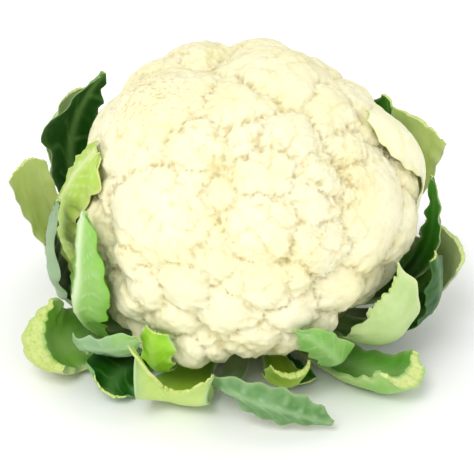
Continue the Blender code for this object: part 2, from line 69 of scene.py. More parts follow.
# ---- dimensions ----
# The head's own frame, in millimetres, as the CAD part lays it out: origin at
# the curd's middle, +Z up the head's axis, azimuth 0 at the front.
HEAD_TILT = math.radians(14.0)
CENTRE_HEIGHT = 74.0
CORE_RADIUS = 74.0
FLORET_ROUND = 1.32
UNDER_DROP = 52.0
UNDER_SLOPE = 0.26
STEM_RADIUS = 24.0
STEM_GAP = 0.35
LEAF_GAP = 0.8
MEAN_RADIUS = 83.0      # the curd's, for spreading knobs over it
WARP_RADIUS = 85.0      # the radius at which the florets' borders are bent

# ---- mesh and surface ----
CURD_CELLS = 128        # cells along each edge of the curd's cube-sphere
FLORET_WARP = [         # size in mm and strength of the bends in the florets' borders
    (22.0, 0.045), (8.0, 0.022), (3.0, 0.011),
]
CLEFT_DEPTH = 1.1       # mm, between florets
# The third number in each row is the width of the painted shade in that size's grooves.
CURD_LEVELS = [         # spacing and height of the knobs in mm, width of their grooves' colour
    (13.0, 1.2, 0.05), (6.0, 0.8, 0.08), (2.6, 0.42, 0.2),
]
SCORCH_AT = (-86.0, 31.0)   # azimuth and angle from the top of the scorched patch
LEAF_ROWS = 64
LEAF_COLUMNS = 20       # per side of the midrib
CAP_STEPS = 4           # rows across a cut end
LEAF_SEED, LEAF_SEED_STEP = 100, 17
CUT_LEAD = [0.12, 0.3, 0.6, 1.0]    # how the last rows share an oblique cut's length
STEM_SEGMENTS = 96
STEM_LEVELS = 20
PITH_RINGS = 10

# ---- light and camera ----
WORLD_LIGHT = 0.78
PAPER_GLOW = 0.35       # keeps the paper white away from the head
GLOW_REACH = (0.10, 0.20)   # metres from the head's foot: where the glow starts and is full
LAMPS = [               # name, watts, size in metres, place
    ("key", 8.0, 0.6, (-0.35, -0.75, 1.05)), ("fill", 1.5, 1.0, (0.9, -0.6, 0.7)),
]
LAMP_AIM = Vector((0.0, 0.0, 0.07))
CAMERA_LENS = 100.0
CAMERA_SENSOR = 36.0
CAMERA_RISE = 29.0      # degrees above the horizon
PICTURE_WIDTH = 0.237   # metres across the picture at the curd's middle
CAMERA_ASIDE = -0.0035
CAMERA_DROP = -0.0145

# ---- colours ----
# All colours are sRGB, in hexadecimal.
CURD_CREAM = ("eeeac8", "ebe5b8")
# Grain, fine, crack, cleft and pit colours are painted shade in the curd's grooves, clefts and pits.
CURD_GRAIN_SHADE = "e9dba4"
CURD_FINE_SHADE = "e0d092"
CURD_CRACK_SHADE = "cdbc78"
CURD_CLEFT_SHADE = "b09854"
CURD_PIT_SHADE = "8c7430"
# Olive of the underside: real colour near the stalks, painted shade where knobs face down.
CURD_OLIVE_AND_SHADE = "cecc6e"
CURD_SPECK = "c4a860"
CURD_SCORCH = "bc9e5c"
LEAF_ROOT = "d6e2b0"
STEM_RIND = ("ced89e", "b8c680")
STEM_PITH = ("eaeaca", "ced09e")
STEM_RING = "bec484"
STEM_SCAR = "9e9660"


def unit(azimuth, polar):
    """Direction in the head frame from azimuth and angle off the top, in degrees."""
    a, p = np.radians(azimuth), np.radians(polar)
    return np.stack([np.sin(p) * np.sin(a), -np.sin(p) * np.cos(a), np.cos(p)], -1)


FLORET_DIR = unit(*np.array(FLORETS, float)[:, :2].T)
FLORET_TOP = np.array(FLORETS, float)[:, 3]
FLORET_BALL = FLORET_ROUND * FLORET_TOP * np.radians(np.array(FLORETS, float)[:, 2])
FLORET_BALL = np.clip(FLORET_BALL, 9.0, 44.0)


def waves(p, size, seed):
    """Smooth three-component noise in -1..1 at points p, about size wide."""
    rng = np.random.default_rng(seed)
    out = np.zeros((len(p), 3))
    for octave in range(3):
        k = rng.normal(size=(9, 3))
        k *= (2 ** octave) * 2 * math.pi / (size * 1.6) / np.linalg.norm(k, axis=1, keepdims=True)
        phase = rng.uniform(0, 2 * math.pi, 9)
        s = np.sin(p @ k.T + phase) / (2 ** octave)
        for c in range(3):
            out[:, c] += s[:, c::3].sum(1) / 3.0
    return out / 1.2


def floret_caps(d):
    """Radius of the highest floret cap along unit directions d, of the next highest, and
    of the core."""
    bent = d
    for k, (size, strength) in enumerate(FLORET_WARP):
        bent = bent + strength * waves(d * WARP_RADIUS, size, 3 + k)
    bent /= np.linalg.norm(bent, axis=1, keepdims=True)
    cos = np.clip(bent @ FLORET_DIR.T, -1.0, 1.0)
    mid = FLORET_TOP - FLORET_BALL
    inside = FLORET_BALL ** 2 - mid ** 2 * (1.0 - cos ** 2)
    hit = mid * cos + np.sqrt(np.maximum(inside, 0.0))
    hit = np.where((inside > 0.0) & (cos > 0.0), hit, 0.0)
    down = np.maximum(-d[:, 2], 1e-6)
    flare = np.sqrt(np.maximum(1.0 - d[:, 2] ** 2, 0.0))
    under = UNDER_DROP / (down + UNDER_SLOPE * flare)
    core = np.where(d[:, 2] < 0.0, np.minimum(CORE_RADIUS, under), CORE_RADIUS)
    fade = np.clip((d[:, 2] + 0.60) / 0.16, 0.0, 1.0)
    caps = core[:, None] + (hit - core[:, None]) * fade[:, None]
    caps.sort(axis=1)
    return np.maximum(core, caps[:, -1]), np.maximum(core, caps[:, -2]), core


def curd_radius(d):
    return floret_caps(d)[0]


def to_row(points):
    """Head frame in millimetres to the row frame in metres, before the offset."""
    c, s = math.cos(HEAD_TILT), math.sin(HEAD_TILT)
    x, y, z = points[:, 0], points[:, 1], points[:, 2] + CENTRE_HEIGHT
    return np.stack([x, y * c - z * s, y * s + z * c], -1) * 0.001


def stem_rings(segs, heights, radii):
    """Rings of the stem between the curd's underside (0) and the ground (1)."""
    a = 2 * math.pi * np.arange(segs) / segs
    knob = 1.0 + 0.03 * np.sin(3 * a + 0.4) + 0.02 * np.sin(5 * a)
    ring = np.stack([np.sin(a), -np.cos(a)], -1) * knob[:, None]
    slope = math.tan(HEAD_TILT)
    rings = []
    for t, r in zip(heights, radii):
        xy = ring * (STEM_RADIUS * r)
        ground = -CENTRE_HEIGHT - xy[:, 1] * slope
        rings.append(np.column_stack([xy, -(UNDER_DROP + STEM_GAP) * (1 - t) + ground * t]))
    return np.array(rings)


def frame_offset():
    """Where the CAD model put the head: found from its stem."""
    mine = to_row(stem_rings(28, (0.0, 0.5, 1.0), (0.97, 1.0, 0.96)).reshape(-1, 3))
    low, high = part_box("stem")
    cad_middle = (np.array(low) + np.array(high)) / 2
    return cad_middle - (mine.min(0) + mine.max(0)) / 2


OFFSET = frame_offset()


def placed(points):
    return to_row(points) + OFFSET


# ---- mesh tools ----
def make_object(name, verts, faces, attributes, sharp_angle=None):
    """A shaded mesh object in the row frame with float attributes on its points."""
    mesh = bpy.data.meshes.new(name)
    mesh.from_pydata(verts.tolist(), [], faces)
    for key, values in attributes.items():
        layer = mesh.attributes.new(key, "FLOAT", "POINT")
        layer.data.foreach_set("value", np.asarray(values, np.float32))
    mesh.shade_smooth()
    if sharp_angle:
        mesh.set_sharp_from_angle(angle=math.radians(sharp_angle))
    obj = bpy.data.objects.new(name, mesh)
    bpy.context.scene.collection.objects.link(obj)
    return obj


def hand_in(obj, node):
    """Rides on the head and stands in for the CAD node, which it hides."""
    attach(obj, "root")
    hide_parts(node)


def quad_normals(p, quads):
    """Unit vertex normals of a closed quad mesh."""
    a, b, c, d = (p[quads[:, k]] for k in range(4))
    face = np.cross(c - a, d - b)
    n = np.zeros_like(p)
    for k in range(4):
        np.add.at(n, quads[:, k], face)
    return n / np.maximum(np.linalg.norm(n, axis=1, keepdims=True), 1e-12)


# ---- curd ----
def cube_sphere(n):
    """Unit directions on a cube-sphere with n cells per edge, and its quads."""
    u, v = np.meshgrid(np.arange(n + 1), np.arange(n + 1), indexing="ij")
    lattice, offset = [], 0
    quads = []
    for axis in range(3):
        for side in (0, n):
            face = np.empty((n + 1, n + 1, 3), int)
            face[..., axis] = side
            face[..., (axis + 1) % 3] = u
            face[..., (axis + 2) % 3] = v
            index = offset + np.arange((n + 1) ** 2).reshape(n + 1, n + 1)
            quad = [index[:-1, :-1], index[1:, :-1], index[1:, 1:], index[:-1, 1:]]
            if side == 0:
                quad = quad[::-1]
            quads.append(np.stack([q.ravel() for q in quad], -1))
            lattice.append(face.reshape(-1, 3))
            offset += (n + 1) ** 2
    corners, inverse = np.unique(np.vstack(lattice), axis=0, return_inverse=True)
    d = np.tan((corners / n * 2 - 1) * math.pi / 4)
    d /= np.linalg.norm(d, axis=1, keepdims=True)
    return d, inverse.ravel()[np.vstack(quads)]


def scatter(spacing, seed):
    """Points spread over the curd about spacing apart."""
    count = int(4 * math.pi * MEAN_RADIUS ** 2 / (0.87 * spacing ** 2))
    rng = np.random.default_rng(seed)
    i = np.arange(count) + 0.5
    z = 1 - 2 * i / count
    turn = math.pi * (1 + 5 ** 0.5) * i
    flat = np.sqrt(1 - z * z)
    d = np.stack([flat * np.cos(turn), flat * np.sin(turn), z], -1)
    d += rng.normal(size=d.shape) * 0.22 * spacing / MEAN_RADIUS
    d /= np.linalg.norm(d, axis=1, keepdims=True)
    return d * curd_radius(d)[:, None]


def cells(p, seeds):
    """0 at the border between the two nearest seeds, rising to 1 at a seed; its index."""
    tree = kdtree.KDTree(len(seeds))
    for i, q in enumerate(seeds.tolist()):
        tree.insert(q, i)
    tree.balance()
    near, far = np.empty(len(p)), np.empty(len(p))
    owner = np.empty(len(p), int)
    for i, q in enumerate(p.tolist()):
        (_, owner[i], near[i]), (_, _, far[i]) = tree.find_n(q, 2)
    return (far - near) / np.maximum(far + near, 1e-9), owner


def build_curd():
    """The dome of florets, with three sizes of knobs, each smaller and shallower."""
    d, quads = cube_sphere(CURD_CELLS)
    top, second, core = floret_caps(d)
    # Painted shade along the clefts where florets meet.
    cleft_shade = np.exp(-(top - second) / 0.40)
    p = d * (top - CLEFT_DEPTH * np.exp(-(top - second) / 0.7))[:, None]
    gap = np.exp(-np.maximum(top - core, 0.0) / 1.3)
    groove_shade = []
    rough = waves(p, 30.0, 11)[:, 0] * 0.45 + 0.75
    for level, (spacing, height, groove_shade_width) in enumerate(CURD_LEVELS):
        n = quad_normals(p, quads)
        warped = p + 0.16 * spacing * waves(p, 1.6 * spacing, 20 + level)
        edge, who = cells(warped, scatter(spacing, 30 + level))
        rng = np.random.default_rng(40 + level)
        lift = rng.uniform(-0.25, 0.25, who.max() + 1)[who]
        dome = np.sqrt(np.clip(1 - (1 - edge) ** 2, 0, 1))
        sink = height * ((1 - dome) * rough + 0.4 * (0.25 - lift) * np.minimum(edge * 4, 1))
        p = p - n * (sink * np.clip(1.2 - gap, 0, 1))[:, None]
        groove_shade.append(np.exp(-edge / groove_shade_width) * np.clip(rough, 0, 1))
    n = quad_normals(p, quads)
    # under: the olive underside, real colour below the middle and painted shade on knobs that face down.
    under = np.clip((-n[:, 2] - 0.05) / 0.7, 0, 1)
    # cleft, pit, crack, fine and grain mark where painted shade goes in the clefts, pits and grooves.
    attributes = {
        "cleft_shade": cleft_shade,
        "pit_shade": gap,
        "crack_shade": groove_shade[0],
        "fine": groove_shade[1],
        "grain_shade": groove_shade[2],
        "under": np.maximum(under, np.clip((-d[:, 2] - 0.25) / 0.35, 0, 1)),
        "scorch": np.exp(-(1 - d @ unit(*SCORCH_AT)) / 0.035),
    }
    obj = make_object("curd_florets", placed(p), quads.tolist(), attributes)
    obj.data.materials.append(curd_material())
    hand_in(obj, "curd")


# ---- leaves ----
def cylinder(points):
    """(azimuth, reach, height) rows to head-frame points."""
    a = np.radians(points[:, 0])
    return np.stack([points[:, 1] * np.sin(a), -points[:, 1] * np.cos(a), points[:, 2]], -1)


def smooth_path(ctrl, n):
    """n + 1 points at even spacing along a Catmull-Rom curve through ctrl."""
    p = np.vstack([2 * ctrl[0] - ctrl[1], ctrl, 2 * ctrl[-1] - ctrl[-2]])
    out = []
    for i in range(len(ctrl) - 1):
        t = np.linspace(0.0, 1.0, 24, endpoint=False)[:, None]
        a, b, c, d = p[i:i + 4]
        out.append(0.5 * (2 * b + (c - a) * t + (2 * a - 5 * b + 4 * c - d) * t ** 2
                          + (3 * b - a - 3 * c + d) * t ** 3))
    curve = np.vstack(out + [ctrl[-1:]])
    length = np.r_[0.0, np.cumsum(np.linalg.norm(np.diff(curve, axis=0), axis=1))]
    s = np.linspace(0.0, length[-1], n + 1)
    path = np.stack([np.interp(s, length, curve[:, k]) for k in range(3)], -1)
    return path, length[-1]


def rows(values, s):
    """Interpolate rows of (s, a, b, ...) at s with eased steps."""
    v = np.array(values, float)
    i = np.clip(np.searchsorted(v[:, 0], s, side="right") - 1, 0, len(v) - 2)
    t = np.clip((s - v[i, 0]) / (v[i + 1, 0] - v[i, 0]), 0.0, 1.0)
    t = (t * t * (3.0 - 2.0 * t))[:, None]
    return v[i, 1:] * (1.0 - t) + v[i + 1, 1:] * t


def grid_normals(g):
    """Unit normals of a grid of points, toward the head."""
    du, dv = np.gradient(g, axis=0), np.gradient(g, axis=1)
    n = np.cross(du, dv)
    return n / np.maximum(np.linalg.norm(n, axis=2, keepdims=True), 1e-9)


def clear_curd(g, gap):
    """Push grid points that would sink into the curd back out of it."""
    flat = g.reshape(-1, 3)
    r = np.linalg.norm(flat, axis=1)
    limit = curd_radius(flat / r[:, None]) + gap
    return (flat * (np.maximum(r, limit) / r)[:, None]).reshape(g.shape)


def ripple(s, seed, turns):
    """Smooth noise in -1..1 along s with about turns swings."""
    rng = np.random.default_rng(seed)
    total = np.zeros_like(s)
    for k in range(4):
        f = turns * rng.uniform(0.6, 1.7)
        total += np.sin(2 * math.pi * f * s + rng.uniform(0, 2 * math.pi)) / 2.6
    return total


def leaf_grid(spec, look, nu, nv, seed):
    """Inner face of a leaf, its thickness and its marks, as (nu+1, 2nv+1) grids."""
    mid, length = smooth_path(cylinder(np.array(spec["path"], float)), nu)
    s = np.linspace(0.0, 1.0, nu + 1)
    tangent = np.gradient(mid, axis=0)
    tangent /= np.linalg.norm(tangent, axis=1, keepdims=True)
    aim = np.array([0.0, 0.0, spec.get("aim", 20.0)]) - mid
    inward = aim - (aim * tangent).sum(1, keepdims=True) * tangent
    inward /= np.linalg.norm(inward, axis=1, keepdims=True)
    across = np.cross(inward, tangent)
    turn = np.radians(rows(spec.get("twist", [(0, 0), (1, 0)]), s))
    inward, across = (inward * np.cos(turn) + across * np.sin(turn),
                      across * np.cos(turn) - inward * np.sin(turn))
    width = rows(spec["width"], s)
    free = np.clip((s - 0.35) / 0.2, 0, 1)
    bend = np.radians(rows(spec.get("cup", [(0, 20, 20), (1, 20, 20)]), s))
    roll = np.radians(rows(spec.get("roll", [(0, 0, 0), (1, 0, 0)]), s))
    fine = 6 * nv
    v = (np.arange(fine) + 0.5) / fine
    edge = np.clip((v - 0.5) / 0.5, 0.0, 1.0) ** 2
    vv = np.arange(1, nv + 1) / nv
    wave = spec.get("wave", (0.0, 2.0, 0.0))
    sides, reaches = [], []
    for k, sign in ((0, -1.0), (1, 1.0)):
        rag = 1 - look["rag"] * free * (0.5 + 0.5 * ripple(s, seed + k, length / 15.0))
        w = width[:, k] * rag
        angle = bend[:, k:k + 1] * v + roll[:, k:k + 1] * edge
        step = w[:, None] / fine
        out = np.cumsum(np.cos(angle) * step, axis=1)[:, 5::6]
        up = np.cumsum(np.sin(angle) * step, axis=1)[:, 5::6]
        up = up + wave[0] * vv ** 2 * np.sin(
            2 * math.pi * (wave[1] * s + wave[2] + 0.37 * k))[:, None] * np.sin(
            math.pi * np.clip(s * 1.1, 0, 1))[:, None]
        curl = look["ruffle"] * ripple(s, seed + 7 + k, length / 16.0) * free
        up = up + curl[:, None] * vv ** 2.5
        along = spec.get("flare", (0.0, 0.0))[k] * vv ** 1.5 * (s ** 2)[:, None]
        sides.append(mid[:, None] + sign * across[:, None] * out[..., None]
                     + inward[:, None] * up[..., None] + tangent[:, None] * along[..., None])
        reaches.append(w[:, None] * vv)
    sheet = np.concatenate([sides[0][:, ::-1], mid[:, None], sides[1]], axis=1)
    reach = np.concatenate([reaches[0][:, ::-1], np.zeros((nu + 1, 1)), reaches[1]], axis=1)
    share = np.abs(np.arange(-nv, nv + 1) / nv)[None] * np.ones((nu + 1, 1))
    side = np.sign(np.arange(-nv, nv + 1))[None] * np.ones((nu + 1, 1))
    # torn or cut end: the last rows run short by an uneven amount
    jag = ripple(np.linspace(0, 1, 2 * nv + 1), seed + 13, 5.0) * 0.6 + ripple(
        np.linspace(0, 1, 2 * nv + 1), seed + 14, 11.0) * 0.4
    pull = np.clip((s - 0.86) / 0.14, 0, 1)[:, None] * look["tear"] * (0.5 + 0.5 * jag)[None]
    sheet = sheet - tangent[:, None] * pull[..., None]
    rib = rows(spec.get("rib", [(0, 5, 9), (1, 1, 3)]), s)
    rib_mark = np.exp(-(reach / np.maximum(rib[:, 1:] * 0.55, 1.8)) ** 2)
    # side veins leave the midrib at an angle and fork toward the margin
    phase = (s[:, None] * length - reach * look["lean"]) / look["vein_gap"] + 0.43 * (side > 0)
    phase = phase + 0.25 * np.sin(reach * 0.33 + 2.0 * side)
    near = np.abs(phase - np.round(phase)) * look["vein_gap"]
    fork = np.abs(2 * phase - np.round(2 * phase)) * look["vein_gap"] / 2
    vein = np.exp(-(near / 0.75) ** 2) + 0.5 * np.exp(-(fork / 0.5) ** 2) * np.clip(share * 2 - 0.7, 0, 1)
    vein = np.minimum(vein, 1) * free[:, None] * np.clip(1.25 - share, 0, 1) * np.clip(share * 8, 0, 1)
    thin = look["blade"] * (1 - 0.45 * share ** 3)
    thick = thin + rib[:, :1] * np.exp(-(reach / rib[:, 1:]) ** 2) + look["vein"] * vein
    pucker = waves(sheet.reshape(-1, 3), 11.0, seed).reshape(sheet.shape)[..., 0]
    normal = grid_normals(sheet)
    sheet = sheet + normal * (look["pucker"] * pucker * free[:, None] * np.clip(share * 3, 0, 1)
                              - 0.25 * look["vein"] * vein)[..., None]
    sheet = clear_curd(sheet, LEAF_GAP)
    marks = {"rib": rib_mark, "vein": vein, "margin": share ** 8,
             "along": s[:, None] * np.ones_like(share)}
    return sheet, thick, marks


def leaf_piece(name, spec, look, seed):
    """One leaf: two faces, margins, and a dented fill over each cut end."""
    nu, nv = LEAF_ROWS, LEAF_COLUMNS
    sheet, thick, marks = leaf_grid(spec, look, nu, nv, seed)
    back = sheet - grid_normals(sheet) * thick[..., None]
    # an oblique cut leaves the outer side longer where the stalk is thick
    onward = sheet[-1] - sheet[-2]
    onward /= np.linalg.norm(onward, axis=1, keepdims=True)
    extra = spec.get("slant", 0.0) * (thick[-1] - thick[-1].min()) / np.ptp(thick[-1])
    for step, lead in enumerate(CUT_LEAD):
        back[step - len(CUT_LEAD)] += onward * (extra * lead)[:, None]
    n_rows, cols = sheet.shape[:2]
    off = n_rows * cols
    verts = [sheet.reshape(-1, 3), back.reshape(-1, 3)]
    at = {key: [value.ravel(), value.ravel()] for key, value in marks.items()}
    at["inner"] = [np.ones(off), np.zeros(off)]
    at["cut"] = [np.zeros(off), np.zeros(off)]
    faces = []
    for i in range(n_rows - 1):
        for j in range(cols - 1):
            a, b = i * cols + j, i * cols + j + 1
            c, d = a + cols, b + cols
            faces.append((a, c, d, b))
            faces.append((a + off, b + off, d + off, c + off))
        for j, flip in ((0, False), (cols - 1, True)):
            a, c = i * cols + j, (i + 1) * cols + j
            quad = (a, a + off, c + off, c)
            faces.append(quad[::-1] if flip else quad)
    base = 2 * off
    for i, flip in ((0, True), (n_rows - 1, False)):
        steps = np.arange(1, CAP_STEPS) / CAP_STEPS
        rim_in, rim_out = sheet[i, 1:-1], back[i, 1:-1]
        fill = rim_in[None] * (1 - steps)[:, None, None] + rim_out[None] * steps[:, None, None]
        ahead = sheet[-1] - sheet[-2] if not flip else sheet[0] - sheet[1]
        ahead = ahead[1:-1] / np.linalg.norm(ahead[1:-1], axis=1, keepdims=True)
        dent = 0.35 * waves(fill.reshape(-1, 3), 2.5, seed + 5)[:, 0].reshape(fill.shape[:2])
        fill = fill + ahead[None] * (dent - 0.15)[..., None]
        verts.append(fill.reshape(-1, 3))
        count = fill.shape[0] * fill.shape[1]
        for key, value in marks.items():
            at[key].append(np.tile(value[i, 1:-1], fill.shape[0]))
        at["inner"].append(np.full(count, 0.5))
        at["cut"].append(np.ones(count))

        def point(j, k):
            """Vertex k steps through the cut end's column j."""
            if k == 0:
                return i * cols + j
            if k == CAP_STEPS:
                return off + i * cols + j
            return base + (k - 1) * (cols - 2) + (j - 1)

        for j in range(1, cols - 2):
            for k in range(CAP_STEPS):
                quad = (point(j, k), point(j, k + 1), point(j + 1, k + 1), point(j + 1, k))
                faces.append(quad[::-1] if flip else quad)
        for j, end in ((1, 0), (cols - 2, cols - 1)):
            side_run = [point(j, k) for k in range(CAP_STEPS + 1)]
            loop = side_run + [point(end, CAP_STEPS), point(end, 0)]
            faces.append(tuple(loop if (end > 0) != flip else loop[::-1]))
        base += count
    attributes = {key: np.concatenate(value) for key, value in at.items()}
    obj = make_object(name + "_blade", placed(np.vstack(verts)), faces, attributes, 55)
    obj.data.materials.append(leaf_material(name, look))
    hand_in(obj, name)


LEAVES = {}


def leaf(name, **spec):
    LEAVES[name] = spec


# Leaves, named by where they stand.  Lengths are millimetres and angles degrees.  A row
# starts with its place along the leaf (0 to 1), except the path's rows, and gives the side
# toward lower azimuth before the side toward higher azimuth.
#   path: azimuth, reach and height     width: from the midline to each margin
#   cup: curl of each side inward       roll: more curl, in each side's outer half
#   rib: height and width of the stalk  twist: turn about the midline
#   flare: extra length of each margin  wave: height, count and start of the margins' ripple
#   slant: extra length of a cut end's outer side
#   aim: height on the head's axis that the inner face looks at
leaf("leaf_front_left_petiole",
     path=[(-26, 25.8, -60.5), (-24, 50, -56.5), (-22, 76, -50.5), (-21, 91, -45), (-21, 97, -31)],
     width=[(0, 4, 4.5), (0.35, 8.5, 9), (0.7, 17, 18), (1, 16, 23)],
     cup=[(0, 10, 10), (0.5, 24, 35), (1, 28, 42)], rib=[(0, 4, 6), (0.6, 3.5, 14), (1, 1, 18)],
     flare=(36, 16), aim=10)
leaf("leaf_front_draped",
     path=[(-2, 25.8, -60), (-3, 50, -55.5), (-5, 72, -47), (-7, 86, -35.5), (-3, 95, -28.5),
           (4, 101, -29), (12, 105, -34), (22, 110, -43)],
     width=[(0, 4.5, 4.5), (0.3, 6, 6), (0.5, 7, 7), (0.62, 9, 10), (0.8, 12, 11), (0.92, 9, 6),
            (1, 1.2, 1.2)],
     cup=[(0, 10, 10), (0.5, 10, 20), (1, 10, 10)], rib=[(0, 3.5, 5), (0.5, 1.5, 4), (1, 0.3, 3)],
     aim=-40)
leaf("leaf_front_stub",
     path=[(16.5, 25.8, -53), (16, 48, -51), (15.5, 68, -48.5), (15.5, 80, -42), (16, 85, -30)],
     width=[(0, 3.2, 3.2), (0.4, 6, 5), (0.8, 13, 9), (1, 14, 11)],
     cup=[(0, 10, 10), (0.6, 40, 40), (1, 65, 65)], rib=[(0, 3, 5), (1, 2.5, 9)])
leaf("leaf_front_right_petiole",
     path=[(40, 25.8, -60), (40, 52, -57), (42, 78, -52.5), (44.5, 97, -47.5), (46.5, 107, -39)],
     width=[(0, 4.5, 4.5), (0.4, 10, 10), (0.8, 17, 14), (1, 19, 15)],
     cup=[(0, 10, 10), (0.5, 40, 40), (1, 64, 50)], rib=[(0, 4, 6), (0.5, 4.5, 12), (1, 7.5, 14)],
     slant=5, aim=50)
leaf("leaf_left_petiole",
     path=[(-68, 25.8, -62), (-66, 56, -60), (-64, 86, -56), (-62.5, 103, -50), (-61, 112, -40)],
     width=[(0, 4.5, 4.5), (0.4, 11, 10), (0.8, 20, 17), (1, 24, 18)],
     cup=[(0, 10, 10), (0.5, 45, 35), (1, 68, 50)], rib=[(0, 4, 6), (0.5, 5, 12), (1, 8.5, 17)],
     slant=7, aim=40, twist=[(0, 0), (0.4, 0), (1, 22)])
leaf("leaf_low_left",
     path=[(-46, 25.8, -60.5), (-46.5, 52, -58), (-46, 76, -54.5), (-42.5, 93, -50), (-38, 104, -46)],
     width=[(0, 4, 4), (0.45, 8, 8), (0.75, 17, 13), (0.93, 20, 13), (1, 13, 8)],
     cup=[(0, 10, 10), (0.6, 30, 20), (1, 45, 20)], rib=[(0, 3, 5), (1, 1, 6)], aim=45)
leaf("leaf_left_strap",
     path=[(-44.5, 25.8, -53.5), (-44, 52, -51), (-45.5, 80, -44.5), (-51, 97, -36), (-50, 102, -29),
           (-43, 100, -23), (-36, 97, -16), (-31, 94, -8)],
     width=[(0, 1.9, 1.9), (0.4, 3.2, 3.2), (0.55, 5, 5), (0.7, 7, 7), (0.9, 8, 7), (1, 3, 3)],
     cup=[(0, 10, 10), (0.6, 20, 20), (1, 20, 20)], rib=[(0, 2.5, 4), (0.5, 1.2, 4), (1, 0.3, 3)])
leaf("leaf_left_curved",
     path=[(-58.5, 25.8, -53), (-58, 54, -50.5), (-58, 80, -43), (-58, 93, -22), (-55, 93, 6),
           (-56, 90, 26), (-59, 85, 38)],
     width=[(0, 3.2, 3.2), (0.3, 6.5, 6.5), (0.5, 12, 17), (0.75, 12, 20), (0.93, 8, 11), (1, 1.5, 1.5)],
     cup=[(0, 10, 10), (0.5, 30, 25), (1, 30, 30)], rib=[(0, 3, 5), (0.4, 3, 6), (1, 0.5, 4)])
leaf("leaf_left_rolled",
     path=[(-75.3, 25.8, -54), (-74.6, 56, -50.8), (-73.5, 81, -43.3), (-72, 93, -26), (-71, 98, -2),
           (-71, 97, 16), (-72, 92, 30)],
     width=[(0, 3.2, 3.2), (0.3, 6, 5), (0.5, 9, 11.5), (0.75, 9, 21), (0.93, 6, 12), (1, 1.5, 1.5)],
     cup=[(0, 10, 10), (0.6, 15, 35), (1, 15, 35)], roll=[(0, 0, 0), (0.5, 0, 75), (1, 0, 75)],
     twist=[(0, 0), (0.3, 0), (0.6, 30), (1, 30)], rib=[(0, 3, 5), (0.4, 2, 6), (1, 0.4, 4)])
leaf("leaf_left_cut",
     path=[(-93, 25.8, -62), (-93, 60, -60), (-94, 86, -49), (-97, 100, -16), (-100, 109, 17)],
     width=[(0, 4.5, 4.5), (0.35, 11, 11), (0.7, 10, 19), (1, 8, 23)],
     cup=[(0, 10, 10), (0.5, 20, 20), (1, 20, 35)], rib=[(0, 4, 6), (1, 2, 10)], aim=60,
     flare=(-6, 0), twist=[(0, 0), (0.5, 10), (1, 26)])
leaf("leaf_left_young",
     path=[(-92, 25.8, -53.5), (-92, 56, -50), (-88, 82, -38), (-84, 90, -12), (-80, 90, 14),
           (-75, 82, 38), (-72, 71, 56)],
     width=[(0, 3.2, 3.2), (0.4, 7, 8), (0.7, 14, 16), (0.93, 15, 16), (1, 6, 6)],
     cup=[(0, 10, 10), (0.6, 40, 50), (1, 40, 50)], wave=(1.2, 3.0, 0.2),
     rib=[(0, 3, 5), (0.5, 1.5, 5), (1, 0.3, 3)])
leaf("leaf_left_dark",
     path=[(-109, 25.8, -54), (-110, 60, -52), (-111, 88, -41), (-113, 98, -12), (-116, 99, 12),
           (-121, 94, 32), (-127, 88, 45)],
     width=[(0, 3.2, 3.2), (0.3, 8, 8), (0.55, 17, 16), (0.72, 16, 18), (0.8, 15, 29), (0.88, 12, 12),
            (0.95, 7, 7), (1, 1.5, 1.5)],
     cup=[(0, 10, 10), (0.5, 20, 20), (1, 30, 20)], rib=[(0, 3, 5), (0.5, 1.6, 6), (1, 0.4, 4)],
     twist=[(0, 0), (0.5, 5), (0.8, 15), (1, 10)])
leaf("leaf_back_left_pale",
     path=[(-125, 25.8, -64), (-125, 62, -63), (-125, 94, -52), (-125, 113, -24), (-125, 116, 4),
           (-127, 110, 24)],
     width=[(0, 5, 5), (0.3, 12, 12), (0.6, 24, 24), (0.85, 22, 24), (1, 14, 16)],
     cup=[(0, 10, 10), (0.5, 30, 30), (1, 30, 30)], rib=[(0, 4, 6), (0.5, 2, 8), (1, 0.6, 5)])
leaf("leaf_right_cup",
     path=[(55, 25.8, -53), (54, 54, -49.5), (52, 80, -39.5), (50, 93, -27), (49, 93, -10),
           (48, 88, 1)],
     width=[(0, 3.2, 3.2), (0.35, 8, 8), (0.6, 22, 16), (0.85, 24, 17), (1, 14, 13)],
     cup=[(0, 10, 10), (0.5, 45, 35), (1, 40, 25)], rib=[(0, 3, 5), (0.6, 3, 10), (1, 1, 8)],
     flare=(-8, 10), twist=[(0, 0), (0.5, 10), (0.8, 24), (1, 24)])
leaf("leaf_right_small",
     path=[(35.5, 25.8, -53), (35, 48, -50.5), (34, 70, -46), (31, 86, -31), (24, 89, -12),
           (15, 88, 3)],
     width=[(0, 3.2, 3.2), (0.4, 5, 7), (0.65, 10, 11), (0.85, 11, 8), (1, 1.5, 1.5)],
     cup=[(0, 10, 10), (0.6, 30, 30), (1, 20, 20)], rib=[(0, 3, 5), (0.5, 1.2, 4), (1, 0.3, 3)])
leaf("leaf_front_fan",
     path=[(-31, 25.8, -53), (-31.5, 50, -50), (-31, 71, -45), (-29.5, 85.5, -35), (-28, 90, -16),
           (-27.5, 90, -4)],
     width=[(0, 2.8, 2.8), (0.4, 5, 5), (0.65, 8, 9), (0.88, 9, 12), (1, 6, 9)],
     cup=[(0, 10, 10), (0.6, 30, 30), (1, 30, 30)], rib=[(0, 3, 5), (0.5, 1.2, 4), (1, 0.3, 3)])
leaf("leaf_right_dark",
     path=[(68, 25.8, -62), (69, 60, -59.5), (71, 87, -51), (70, 100, -34), (68, 101, -12), (67, 98, 4)],
     width=[(0, 4.5, 4.5), (0.3, 9, 9), (0.6, 13, 19), (0.85, 12, 16), (1, 4, 4)],
     cup=[(0, 10, 10), (0.5, 25, 30), (1, 25, 30)], rib=[(0, 4, 6), (0.5, 2, 7), (1, 0.5, 4)])
